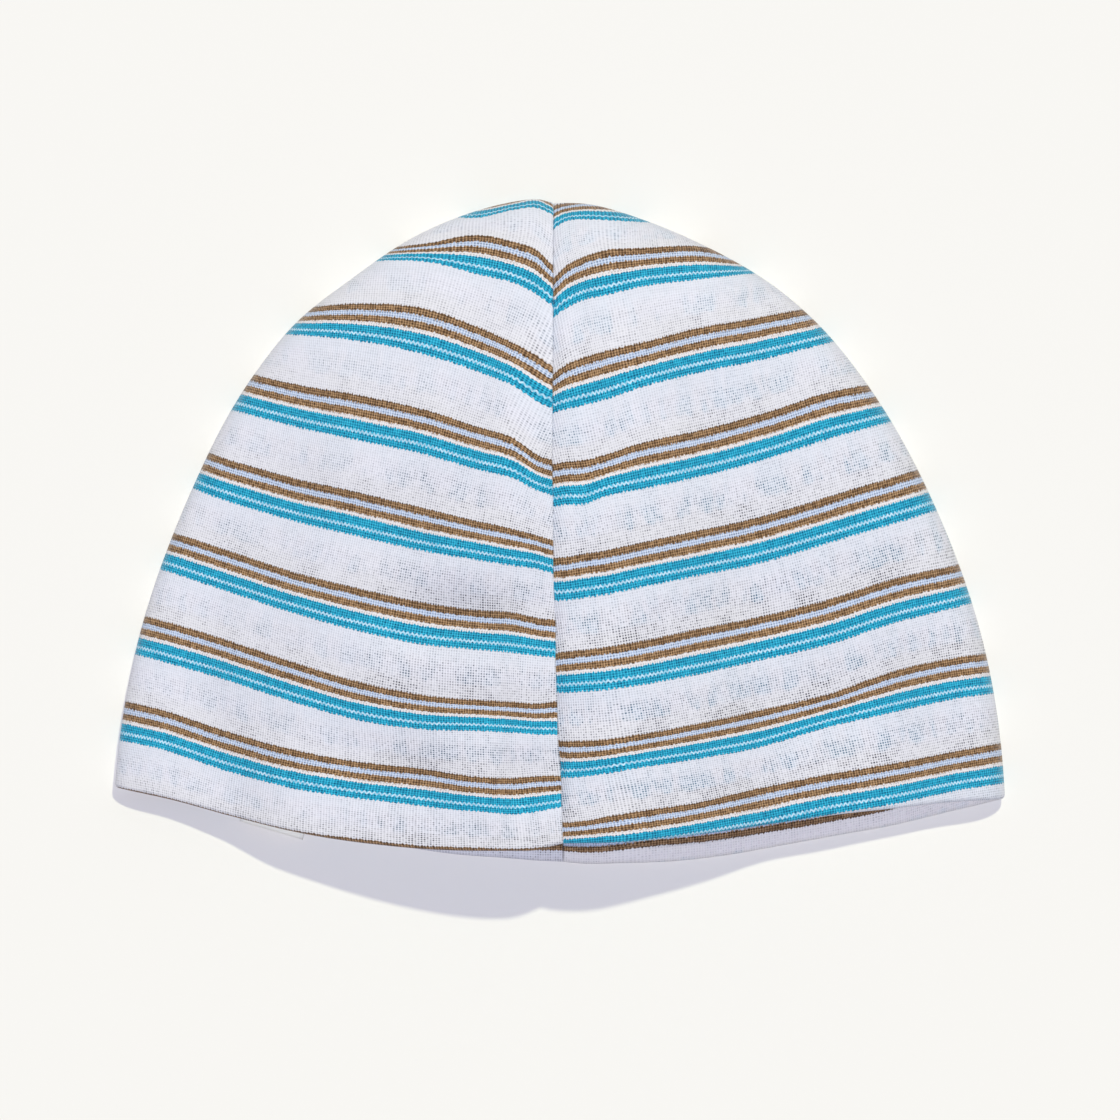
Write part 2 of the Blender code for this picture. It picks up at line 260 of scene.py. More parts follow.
# The label: turn in degrees, shift along X, height over its solid's underside, lift of its
# free end and height of the wave across it
LABEL_TURN = -16.4
LABEL_SHIFT = 0.0011294
LABEL_RISE = 0.0005
LABEL_LIFT = 0.0004
LABEL_WAVE = 0.0001

# Where the white cloth changes, in mm above the lower edge of the teal stripe below, and by
# how much these places drift up and down
ZONES = {"neutral": (11.0, 15.5), "cool": (16.5, 20.0), "close": (16.4, 19.0),
         "blue": (12.7, 14.1)}
LEVEL_DRIFT = 1.8

# Run over which the slack changes from the seam's to the far one, and the place over which
# the cloth opens below the crown, in mm
SEAM_REACH = (28.0, 44.0)
CLOSE_CROWN = (10.0, 100.0)

# Inside the stripes: stitches darker at random, stitch heads with a painted highlight and the
# painted shade in the gaps between stitches, then half the width in mm over which a stripe's
# edge fades
DARKER = {"brown": (0.09, 0.045, 0.018), "teal": (0.003, 0.18, 0.33)}
HEAD_HIGHLIGHTS = {"teal": (0.07, 0.62, 0.82), "pale": (0.82, 0.87, 0.95)}
GAP_SHADES = {"brown": (0.040, 0.020, 0.009), "teal": (0.002, 0.05, 0.12), "pale": (0.08, 0.10, 0.16)}
SOFT_EDGE = 0.13

# Facets of the visible pieces
ROWS = 165
FRONT_COLUMNS = 130
BACK_COLUMNS = 64
ROLL_ROWS = 12
TURNED_ROWS = 4
LINING_ROWS = 90
SEAM_COLUMNS_MM = (0.1, 0.22, 0.4, 0.62, 0.9)
RIDGE_RINGS = 120
RIDGE_SIDES = 12
LABEL_COLUMNS = 25
LABEL_ROWS = 41

# Columns within this reach of the seam, in metres, keep their distance from it until the
# outline has narrowed to this share of the cap's width
KEPT_REACH = 0.025
LEAST_RATIO = 0.35

# The sewn ridge: its climb and how far around it lies, in degrees
RIDGE_CLIMB = (1.6, 88.5)
RIDGE_AROUND = 89.95


def metres(name, description, default):
    """A length above zero, in metres."""
    return FloatProperty(name=name, description=description, default=default, min=0.0001,
                         unit="LENGTH")


def plain(name, description, default):
    """A number without a unit of its own."""
    return FloatProperty(name=name, description=description, default=default)


def tint(name, description, default):
    """A linear colour."""
    return FloatVectorProperty(name=name, description=description, default=default,
                               subtype="COLOR", size=3)


def aim(name, description, degrees):
    """Turns about X, Y and Z."""
    return FloatVectorProperty(name=name, description=description, subtype="EULER", size=3,
                               default=tuple(math.radians(angle) for angle in degrees))


class CapSizes(PropertyGroup):
    """Sizes of the lying cap."""

    width: metres("Width", "Between the side folds at the hem",
                  SOLID_BOX[1][0] - SOLID_BOX[0][0])
    length: metres("Length", "From the lowest place of the back hem to the crown",
                   SOLID_BOX[1][1] - SOLID_BOX[0][1])
    puff_height: metres("Puff height", "Top of the front layer at the mouth", 0.034)
    hem_sag: metres("Hem sag", "How far the front hem hangs below its left end", 0.0133)
    back_hem_drop: metres("Back hem drop", "From the front hem down to the back hem", 0.0056)
    fold_height: metres("Fold height", "Height of the side folds and the crown's nose", 0.0045)
    fold_reach: metres("Fold reach", "From a side fold to where the back lies flat", 0.007)
    nose_reach: metres("Nose reach", "From the crown to where the back lies flat", 0.007)
    thickness: metres("Double thickness", "Through both layers of cloth", 0.0023)
    cloth: metres("Cloth", "Thickness of one layer of jersey", 0.00055)
    hem_turn: metres("Hem turn", "How far the outer cloth reaches inside past the fold", 0.0037)
    seam_valley: metres("Seam valley", "How deep the front dips along the seam", 0.0012)
    valley_reach: metres("Valley reach", "How far the dip reaches to each side", 0.007)
    seam_roll: metres("Seam roll", "Radius of the edge that turns into the seam", 0.0006)
    ridge_width: metres("Ridge width", "Width of the sewn ridge between the layers", 0.0020)
    ridge_height: metres("Ridge height", "Height of the sewn ridge", 0.0008)
    label_shows: metres("Label shows", "How far the label reaches below the front hem", 0.00095)
    label_width: metres("Label width", "Across the blank tape", 0.0148)
    label_length: metres("Label length", "From the free end to the sewn one", 0.0205)
    label_tape: metres("Label tape", "Thickness of the tape", 0.0004)
    crown_notch: metres("Crown notch", "How much lower the right panel starts", 0.0011)
    arch_fill: plain("Arch fill", "How late the front fills out to a full arch", 2.0)
    rise_fall: plain("Rise fall", "How late the height falls towards the crown", 3.0)
    rise_round: plain("Rise round", "How round the nose of the crown is", 0.55)


class JerseyLook(PropertyGroup):
    """Stitch sizes, stripe widths and colours of the jersey."""

    wale_mm: plain("Stitch width", "One stitch column, in mm", 0.56)
    course_mm: plain("Stitch height", "One stitch row, in mm", 0.58)
    pair_mm: plain("Stitch pair", "From one tooth of a stripe's edge to the next, in mm", 0.93)
    repeat_mm: plain("Repeat", "One whole stripe repeat, in mm", 21.0)
    teal_mm: plain("Teal width", "Width of the teal stripe, in mm", 4.35)
    cream_mm: plain("Cream width", "Width of the cream line, in mm", 0.82)
    brown_mm: plain("Brown width", "Width of each brown line, in mm", 1.68)
    pale_mm: plain("Pale blue width", "Width of the pale blue line, in mm", 1.21)
    tooth_mm: plain("Teeth", "Height of the teeth on the teal stripe's lower edge, in mm", 0.42)
    comb_mm: plain("Comb", "Height of the stitch heads along every edge, in mm", 0.22)
    zigzag_mm: plain("Zigzag height", "Height of the zigzag in the teal stripe, in mm", 0.56)
    white: tint("White", "Ground of the jersey", (0.784, 0.795, 0.864))
    cool: tint("Cool white", "Ground just below the teal", (0.748, 0.778, 0.846))
    warm: tint("Warm white", "Ground just above the brown", (0.777, 0.783, 0.813))
    # Lighter, warmer ground for the turned-in cloth and the lining, which lie in shade inside the
    # cap: painted bounce light
    inner: tint("Inner white", "Ground of the turned-in cloth", (0.845, 0.83, 0.815))
    brown: tint("Brown", "The two brown lines", (0.32, 0.19, 0.09))
    # Painted highlight on the stitch heads of the brown
    golden_highlight: tint("Golden brown", "Stitch heads of the brown", (0.64, 0.42, 0.235))
    pale: tint("Pale blue", "The line between the browns", (0.49, 0.60, 0.78))
    cream: tint("Cream", "The line above the teal stripe", (0.80, 0.78, 0.78))
    teal: tint("Teal", "The teal stripe", (0.014, 0.385, 0.595))
    zigzag: tint("Zigzag", "The zigzag in the teal stripe", (0.56, 0.79, 0.92))
    # Painted shade in the gaps between stitches; it also darkens stitches a little at random
    gap_shade_and_tone: tint("Hole", "Dark between the stitches", (0.05, 0.05, 0.07))
    # Painted shade in the gaps where a teal stripe of the other layer lies behind
    blue_gap_shade: tint("Blue hole", "Dark where a teal stripe lies behind", (0.06, 0.15, 0.23))


class StudioLook(PropertyGroup):
    """Paper, light and camera."""

    paper: tint("Paper", "Colour of the floor", (0.802, 0.799, 0.748))
    fill: tint("Fill", "Even light from all round", (0.757, 0.749, 0.895))
    key: tint("Key", "Colour of the key light", (0.995, 0.99, 0.73))
    key_strength: plain("Key strength", "Strength of the key light", 1.48)
    key_softness: FloatProperty(
        name="Key softness", description="Angle over which the key light spreads",
        subtype="ANGLE", default=math.radians(2.0))
    key_turn: aim("Key turn", "Turn of the key light from straight overhead", (-25.4, 9.0, 0))
    top_turn: aim("Top turn", "Turn of the even light from overhead", (-3, 1, 0))
    round_share: FloatProperty(
        name="Round share", description="Share of the even light that comes from all round",
        default=0.32, min=0, max=1)
    camera_height: metres("Camera height", "Height of the camera above the floor", 6.0)
    view_width: metres("View width", "Width of the floor that the camera sees", 0.2517)
    view_centre_y: plain("View centre", "Y of the middle of the view, in metres", -0.0065)


def sine(degrees):
    """Sine of an angle in degrees."""
    return np.sin(np.radians(degrees))


def cosine(degrees):
    """Cosine of an angle in degrees."""
    return np.cos(np.radians(degrees))


def bell(distance, reach):
    """1 in the middle, falling as a Gaussian to 1/e at the reach."""
    return np.exp(-(distance / reach) ** 2)


def smooth_lookup(table, column, at):
    """Read a table column at any first-column value along a smooth curve through its rows."""
    knots = table[:, 0]
    values = table[:, column]
    slopes = np.gradient(values, knots)
    at = np.clip(at, knots[0], knots[-1])
    i = np.clip(np.searchsorted(knots, at, side="right") - 1, 0, len(knots) - 2)
    span = knots[i + 1] - knots[i]
    t = (at - knots[i]) / span
    start = values[i] * (1 + 2 * t) * (1 - t) ** 2 + slopes[i] * span * t * (1 - t) ** 2
    end = values[i + 1] * t ** 2 * (3 - 2 * t) - slopes[i + 1] * span * t ** 2 * (1 - t)
    return start + end


class CapShape:
    """The cap's skin as functions of two angles.

    "around" runs from 90 degrees at the front seam over 0 at the side fold to -90 at the back
    seam, and "climb" from 0 at the hem to 90 at the crown.
    """

    def __init__(self, sizes):
        self.s = sizes
        self.half_width = sizes.width / 2
        around = np.linspace(-90, 90, 361)
        lowest = max(self.hem_drop(side, around).max() for side in WORDS)
        self.crown_rise = sizes.length - lowest
        self.side_y = SOLID_BOX[0][1] + lowest
        self.crown_y = self.side_y + self.crown_rise

    def hem_drop(self, side, around):
        """How far the hem lies below the left side fold's hem."""
        across = cosine(around)
        drop = self.s.hem_sag * smooth_lookup(HEM, COLUMN[side], across)
        back = self.s.back_hem_drop * smooth_lookup(HEM, COLUMN[side] + 2, across)
        return np.where(around < 0, drop + back, drop)

    def climb_above_hem(self, side, around, distance):
        """Climb angle of the places this far above the hem: the arc sine of the share."""
        length = self.crown_rise + self.hem_drop(side, around)
        return np.degrees(np.arcsin(np.clip(distance / length, 0, 1)))

    def half(self, side, climb):
        """Half width of the outline at this climb: a quarter ellipse times the fullness."""
        fullness = smooth_lookup(OUTLINE, COLUMN[side], climb)
        return np.maximum(self.half_width * fullness * cosine(climb), 1e-6)

    def dent_depth(self, x, y):
        """Sum of turned Gaussian hollows."""
        total = 0.0
        for across, up, depth, half_across, half_up, turn in DENTS:
            dx = x - across * self.half_width
            dy = y - (self.side_y + up * self.crown_rise)
            along = dx * cosine(turn) + dy * sine(turn)
            over = dy * cosine(turn) - dx * sine(turn)
            hollow = (bell(along, half_across * self.half_width)
                      * bell(over, half_up * self.crown_rise))
            total = total + depth * self.s.puff_height * hollow
        return total

    def ripple_height(self, x, y):
        """Sum of plane sine waves."""
        total = 0.0
        for wavelength, height, direction, phase in RIPPLES:
            waves = (x * cosine(direction) + y * sine(direction)) * 1000 / wavelength
            total = total + height / 1000 * sine(360 * waves + phase)
        return total

    def skin(self, side, around, climb):
        """Outer face: an ellipse in plan, an arch above the fold and a flat bed below it."""
        s = self.s
        around, climb = np.broadcast_arrays(np.asarray(around, float), np.asarray(climb, float))
        up = sine(climb)
        half = self.half(side, climb)
        out = half * cosine(around)
        hem_y = self.side_y - self.hem_drop(side, around)
        y = hem_y + (self.crown_y - hem_y) * up
        x = side * out
        towards_crown = np.clip(1 - up ** s.rise_fall, 0, 1) ** s.rise_round
        at_hem = smooth_lookup(ARCH, COLUMN[side], cosine(around))
        arch = sine(around) * (at_hem + (1 - at_hem) * up ** s.arch_fill)
        valley = s.seam_valley * bell(out, s.valley_reach)
        slack = valley + self.dent_depth(x, y) - self.ripple_height(x, y)
        front = s.fold_height + towards_crown * ((s.puff_height - s.fold_height) * arch
                                                 - np.clip(sine(around), 0, 1) * slack)
        reach = np.minimum(s.fold_reach, half / 2)
        near_fold = np.clip(1 - (half - out) / reach, 0, 1)
        nose_start = 1 - s.nose_reach / self.crown_rise
        near_crown = np.clip((up - nose_start) / (1 - nose_start), 0, 1)
        down = np.sqrt(1 - near_fold ** 2) * np.sqrt(1 - near_crown ** 2)
        z = np.where(around > 0, front, s.fold_height * (1 - down))
        share = (y - self.side_y) / self.crown_rise
        x = x + smooth_lookup(SEAM_DRIFT, 1, share) / 1000 * bell(out, SEAM_DRIFT_REACH)
        if side == RIGHT:
            above = np.clip((up - NOTCH_START) / (1 - NOTCH_START), 0, 1)
            y = y - s.crown_notch * bell(out, NOTCH_REACH) * above ** 2
        return np.stack([x, y, z], axis=-1)

    def normals(self, side, around, climb):
        """Outward directions: the cross product of small steps around and up the skin."""
        step = 0.05
        climb = np.clip(climb, 0, 90 - 2 * step)
        inner = np.clip(around, -90 + step, 90 - step)
        round_it = self.skin(side, inner + step, climb) - self.skin(side, inner - step, climb)
        up_it = self.skin(side, inner, climb + step) - self.skin(side, inner, climb - step)
        normal = -side * np.cross(round_it, up_it)
        return normal / np.linalg.norm(normal, axis=-1, keepdims=True)

    def behind_skin(self, side, around, climb, depth):
        """Places this deep behind the skin."""
        inward = self.normals(side, around, climb) * depth[..., None]
        return self.skin(side, around, climb) - inward

    def seam_depth(self, side, around, climb, distance, facing):
        """How much deeper the cloth lies near the seam.

        The edge turns in along a quarter circle, outward or inward as the layer faces. On the
        front a Gaussian dip leads down to it. At the crown the left one goes on over the back
        and the right one dies out.
        """
        radius = self.s.seam_roll
        near = np.clip(radius - distance, 0, radius)
        turned = radius - np.sqrt(radius ** 2 - near ** 2)
        depth, reach = SEAM_DIP[side]
        dip = depth / 1000 * bell(distance * 1000, reach)
        at_crown = sine(climb) ** 20
        front, back = (1, at_crown) if side == LEFT else (1 - at_crown, 0)
        return dip * np.where(around > 0, front, back) + facing * turned

    def tip(self, side, depth):
        """Where all columns of one side meet, this deep behind the crown's nose."""
        drift = smooth_lookup(SEAM_DRIFT, 1, 1.0) / 1000
        notch = self.s.crown_notch if side == RIGHT else SEAM_DIP[LEFT][0] / 1000
        return np.array([drift, self.crown_y - notch - depth, self.s.fold_height])


def stripe_bands(look):
    """Lower and upper limit of each stripe above the lower edge of the teal one, in mm."""
    bands = {}
    low = 0.0
    for name, width in (("teal", look.teal_mm), ("cream", look.cream_mm),
                        ("brown_low", look.brown_mm), ("pale", look.pale_mm),
                        ("brown_high", look.brown_mm)):
        bands[name] = (low, low + width)
        low += width
    return bands


class ClothMap:
    """Where each place of one side's outer face lies in its cloth, in mm.

    "place" counts down the stitch columns from the crown, and "run" counts across them from
    the front seam over the side fold to the back seam.
    """

    def __init__(self, shape, side):
        look = bpy.context.scene.jersey_look
        self.shape = shape
        self.side = side
        self.lines = np.column_stack([STATIONS, STRIPES[side].T])
        high = stripe_bands(look)["brown_high"][1]
        count = len(STRIPES[side]) // 2
        self.marks = [k * look.repeat_mm - high * (line == 0)
                      for k in range(count) for line in (0, 1)]
        self.trace_columns()

    def place_at(self, out, y):
        """Place for a spot of the plan: it runs evenly between neighbouring stripe lines."""
        across = out / (self.shape.half_width * 1000)
        lines = [smooth_lookup(self.lines, k + 1, across) for k in range(len(self.marks))]
        place = self.marks[0] + lines[0] - y
        for above, below, start, end in zip(lines, lines[1:], self.marks, self.marks[1:]):
            share = (above - y) / (above - below)
            place = np.where(y < above, start + (end - start) * share, place)
        return np.where(y < lines[-1], self.marks[-1] + lines[-1] - y, place)

    def slope(self, out, y):
        """Slope of the stripes in the plan, read a little off the seam."""
        at = np.clip(out, *SLOPE_OUT)
        fall = self.place_at(at, y - 2) - self.place_at(at, y + 2)
        slope = (self.place_at(at + 2, y) - self.place_at(at - 2, y)) / fall
        return np.clip(slope, -STEEPEST, STEEPEST)

    def trace_columns(self):
        """Follow the stitch columns down the plan, nearly square to the stripes.

        From level to level a column moves out by a share of the stripes' slope. Columns are
        numbered by where they cross the middle level, and "leans" holds the number less the
        place out from the middle on a grid of 1 mm.
        """
        self.levels = np.arange(*TRACED_Y, -1.0)
        self.outs = np.arange(*TRACED_OUT)
        paths = [np.arange(*STARTS_OUT)]
        for level in self.levels[1:]:
            paths.append(paths[-1] + COLUMN_LEAN * self.slope(paths[-1], level))
        numbers = paths[len(paths) // 2]
        self.leans = np.array([np.interp(self.outs, path, numbers) - self.outs for path in paths])

    def lean(self, out, y):
        """The number of a stitch column less its place out from the middle."""
        column = np.clip(out - self.outs[0], 0, len(self.outs) - 1.001)
        row = np.clip(self.levels[0] - y, 0, len(self.levels) - 1.001)
        i = column.astype(int)
        j = row.astype(int)
        s = column - i
        upper = self.leans[j, i] * (1 - s) + self.leans[j, i + 1] * s
        lower = self.leans[j + 1, i] * (1 - s) + self.leans[j + 1, i + 1] * s
        return upper + (lower - upper) * (row - j)

    def plan(self, around, climb):
        """Out and Y of the outer face in mm."""
        points = self.shape.skin(self.side, around, climb) * 1000
        return points[..., 0] * self.side, points[..., 1]

    def run(self, around, climb):
        """Length of the skin along each row, set off by the lean of the stitch columns."""
        points = self.shape.skin(self.side, around, climb) * 1000
        steps = np.linalg.norm(np.diff(points, axis=1), axis=-1)
        length = np.concatenate([np.zeros((len(steps), 1)), np.cumsum(steps, axis=1)], axis=1)
        lean = self.lean(points[..., 0] * self.side, points[..., 1])
        fold = np.argmax(around[0] <= 0)
        return length + np.where(around >= 0, lean, 2 * lean[:, fold:fold + 1] - lean)

    def place(self, around, climb):
        """Place of the outer face: the back's cloth is set along by its own shift."""
        around, climb = np.broadcast_arrays(around, climb)
        return self.place_at(*self.plan(around, climb)) + self.back_shift(around, climb)

    def back_shift(self, around, climb):
        """Shift that brings the turned-in stripe to its place, dying away to the crown."""
        shape = self.shape
        radius = shape.s.thickness / 2
        across = cosine(around)
        turned = smooth_lookup(TURNED_IN, COLUMN[self.side], across)
        start = self.place_at(*self.plan(around, shape.climb_above_hem(self.side, around, radius)))
        shift = self.marks[-2] - turned - radius * 1000 * math.pi / 2 - start
        fade = cosine(climb) * (1 - across ** 6)
        return np.where(around < 0, shift * fade, 0)


def seam_distances(shape, side, climb):
    """Angles of each column and its distances from the seam, a row for each climb.

    The columns near the seam keep their distance nearly up to the crown, and the others keep
    their share of the width: distance times ratio to a power that grows with the distance.
    """
    front = np.linspace(0, 90, FRONT_COLUMNS + 1)
    back = np.linspace(90, 0, BACK_COLUMNS + 1)
    angles = np.concatenate([front, back[1:]])
    base = shape.half_width * sine(angles)
    near = np.array(SEAM_COLUMNS_MM) / 1000
    base = np.concatenate([[0.0], near, base[1:-1], near[::-1], [0.0]])
    fold = len(near) + FRONT_COLUMNS
    half = shape.half(side, climb)[:, None]
    ratio = np.maximum(half / shape.half_width, LEAST_RATIO)
    power = 1 - bell(base, KEPT_REACH)
    distances = base * ratio ** power * half / shape.half_width / ratio
    on_front = np.arange(len(base)) <= fold
    angle = np.degrees(np.arccos(np.clip(distances / half, 0, 1)))
    return np.where(on_front, angle, -angle), np.minimum(distances, half)


def grid_angles(shape, side, rows, lowest):
    """Around, climb and distance from the seam, from near the crown to just above the hem."""
    share = np.linspace(0, 1, rows + 1)[1:, None]
    around, _ = seam_distances(shape, side, 90 * (1 - share[:, 0]))
    climb = 90 + (shape.climb_above_hem(side, around, lowest) - 90) * share
    around, distance = seam_distances(shape, side, climb[:, 0])
    return around, climb, distance


def grid_faces(rows, columns):
    """Quads between the neighbours of a grid of places."""
    grid = np.arange(rows * columns).reshape(rows, columns)
    quads = np.stack([grid[:-1, :-1], grid[:-1, 1:], grid[1:, 1:], grid[1:, :-1]], axis=-1)
    return quads.reshape(-1, 4)


def add_object(name, data):
    """Put an object with this mesh, light or camera in the scene."""
    item = bpy.data.objects.new(name, data)
    bpy.context.scene.collection.objects.link(item)
    return item


def add_piece(name, places, faces, flat, wall=0.0):
    """Make a smooth mesh whose UV map holds a flat place in metres for each vertex.

    A wall thickness comes from a modifier and lies behind the faces.
    """
    mesh = bpy.data.meshes.new(name)
    mesh.from_pydata(places.reshape(-1, 3).tolist(), [], faces)
    mesh.update()
    corners = np.zeros(len(mesh.loops), np.int32)
    mesh.loops.foreach_get("vertex_index", corners)
    layer = mesh.uv_layers.new(name="cloth")
    layer.data.foreach_set("uv", flat[corners].astype(np.float32).reshape(-1))
    mesh.shade_smooth()
    piece = add_object(name, mesh)
    if wall:
        solid = piece.modifiers.new("Thickness", "SOLIDIFY")
        solid.thickness = wall
        solid.offset = -1
    return piece


def add_cloth(name, points, tip, run, place, flip):
    """Make one sheet from rows of points that run from the tip at the crown to the hem.

    The faces can be flipped to look the other way.
    """
    rows, columns = points.shape[:2]
    first = np.arange(columns)
    fan = np.stack([np.full(columns - 1, rows * columns), first[1:], first[:-1]], axis=-1)
    way = -1 if flip else 1
    faces = grid_faces(rows, columns)[:, ::way].tolist() + fan[:, ::way].tolist()
    flat = np.stack([run.reshape(-1), place.reshape(-1)], axis=-1) / 1000
    flat = np.concatenate([flat, flat[:columns].mean(axis=0)[None]])
    places = np.concatenate([points.reshape(-1, 3), tip[None]])
    return add_piece(name, places, faces, flat, bpy.context.scene.cap_sizes.cloth)


def carry_down(rows, more):
    """Repeat the last row for more rows below it."""
    return np.concatenate([rows, np.repeat(rows[-1:], more, axis=0)])


def outer_sheet(shape, side):
    """One side's outer cloth: the outer face, the roll at the hem and the turned edge.

    The roll is a half circle in depth and distance above the hem: distance = radius times
    one minus the sine, depth = radius times one minus the cosine. The place goes on by its
    arc, and past it mirrors the outer face's place at the fold.
    """
    cloth = ClothMap(shape, side)
    radius = shape.s.thickness / 2
    around, climb, distance = grid_angles(shape, side, ROWS, radius)
    run = cloth.run(around, climb)
    place = cloth.place(around, climb)
    turn = np.linspace(0, math.pi, ROLL_ROWS + 1)[1:, None]
    inside = np.linspace(radius, shape.s.hem_turn, TURNED_ROWS + 1)[1:, None]
    below = np.concatenate([radius * (1 - np.sin(turn)), inside])
    under = np.concatenate([radius * (1 - np.cos(turn)), np.full_like(inside, 2 * radius)])
    low_climb = shape.climb_above_hem(side, around[-1:], below)
    rolled = place[-1:] + radius * 1000 * turn
    mirrored = 2 * place[-1:] + radius * 1000 * math.pi
    turned = mirrored - cloth.place(around[-1:], low_climb[ROLL_ROWS:])
    around, distance, run = (carry_down(rows, len(low_climb)) for rows in (around, distance, run))
    climb = np.concatenate([climb, low_climb])
    depth = np.concatenate([np.zeros((ROWS, 1)), under])
    facing = np.cos(depth / radius * math.pi / 2)
    depth = depth + shape.seam_depth(side, around, climb, distance, facing)
    points = shape.behind_skin(side, around, climb, depth)
    tip = shape.tip(side, shape.s.seam_roll)
    return points, tip, run, np.concatenate([place, rolled, turned])


def lining_sheet(shape, side):
    """One side's lining: the skin moved in by the doubled thickness, from the turned edge up.

    Its place is the outer face's place mirrored at the hem's fold.
    """
    cloth = ClothMap(shape, side)
    radius = shape.s.thickness / 2
    around, climb, distance = grid_angles(shape, side, LINING_ROWS, shape.s.hem_turn)
    start = cloth.place(around, shape.climb_above_hem(side, around, radius))
    place = 2 * start + radius * 1000 * math.pi - cloth.place(around, climb)
    depth = shape.s.thickness + shape.seam_depth(side, around, climb, distance, -1)
    points = shape.behind_skin(side, around, climb, depth)
    tip = shape.tip(side, shape.s.thickness - shape.s.seam_roll)
    return points, tip, cloth.run(around, climb), place


def math_node(kind):
    """A method that puts a Math node of this kind behind a value and another one."""
    return lambda value, other=0.0: value.nodes.math(kind, value, other)


class Value:
    """What a node gives. A number can be reckoned with like a plain one."""

    __add__ = math_node("ADD")
    __sub__ = math_node("SUBTRACT")
    __mul__ = math_node("MULTIPLY")
    __truediv__ = math_node("DIVIDE")
    __pow__ = math_node("POWER")
    __mod__ = math_node("FLOORED_MODULO")
    __abs__ = math_node("ABSOLUTE")
    at_most = math_node("MINIMUM")
    at_least = math_node("MAXIMUM")
    whole = math_node("ROUND")
    fraction = math_node("FRACT")
    cosine = math_node("COSINE")
    there_and_back = math_node("PINGPONG")

    def __init__(self, nodes, socket):
        self.nodes = nodes
        self.socket = socket

    def __rsub__(self, other):
        return self.nodes.math("SUBTRACT", other, self)

    def step(self, low, high):
        """0 below low, 1 above high and a smooth step between."""
        return self.nodes.value("MapRange", self, low, high, interpolation_type="SMOOTHSTEP")

    def scale(self, low, high):
        """Carry 0 to 1 over to low to high."""
        return self.nodes.value("MapRange", self, 0.0, 1.0, low, high)

    def wave(self, length):
        """A cosine between 0 and 1 with this wavelength."""
        return (self * (2 * math.pi / length)).cosine() * 0.5 + 0.5

    def triangle(self, length):
        """A triangle wave between -0.5 and 0.5 with this wavelength."""
        return self.there_and_back(length / 2) * (2 / length) - 0.5


class Nodes:
    """Short names for building a material from nodes."""

    def __init__(self, name):
        self.material = bpy.data.materials.new(name)
        self.material.use_nodes = True
        self.tree = self.material.node_tree
        self.shader = self.tree.nodes["Principled BSDF"].inputs

    def put(self, socket, value):
        """Link a socket to a value, or set its constant."""
        if isinstance(value, Value):
            self.tree.links.new(value.socket, socket)
        elif hasattr(value, "__len__"):
            socket.default_value = (*value, 1)
        else:
            socket.default_value = value

    def node(self, kind, *values, **settings):
        """A node with these settings, and these values on its first inputs."""
        node = self.tree.nodes.new("ShaderNode" + kind)
        for name, setting in settings.items():
            setattr(node, name, setting)
        for socket, value in zip(node.inputs, values):
            self.put(socket, value)
        return node

    def value(self, kind, *values, output=0, **settings):
        """What such a node gives."""
        return Value(self, self.node(kind, *values, **settings).outputs[output])

    def math(self, kind, *values):
        """A Math node's value."""
        return self.value("Math", *values, operation=kind)

    def mix(self, factor, first, second):
        """A colour between two."""
        node = self.node("Mix", factor, data_type="RGBA")
        self.put(node.inputs[6], first)
        self.put(node.inputs[7], second)
        return Value(self, node.outputs[2])

    def map_mm(self):
        """Both coordinates of the cloth's UV map, in mm."""
        split = self.node("SeparateXYZ", self.value("UVMap", uv_map="cloth"))
        return [Value(self, socket) * 1000.0 for socket in split.outputs[:2]]

    def noise(self, scale, detail, *place):
        """A Noise texture's value at up to three numbers."""
        return self.value("TexNoise", self.value("CombineXYZ", *place), 0.0, scale, detail)

    def chance(self, *place):
        """An even random number for each pair of numbers."""
        vector = self.value("CombineXYZ", *place)
        return self.value("TexWhiteNoise", vector, noise_dimensions="2D", output="Value")

    def finish(self, colour, relief, depth, strength, roughness, sheen):
        """Put the colour, the relief and the even values of a cloth on the shader."""
        bump = self.tree.nodes.new("ShaderNodeBump")
        for socket, value in (("Height", relief), ("Distance", depth), ("Strength", strength)):
            self.put(bump.inputs[socket], value)
        self.put(self.shader["Normal"], Value(self, bump.outputs[0]))
        for socket, value in (("Base Color", colour), ("Roughness", roughness),
                              ("Specular IOR Level", 0.2), ("Sheen Weight", sheen),
                              ("Sheen Roughness", 0.4)):
            self.put(self.shader[socket], value)
        return self.material


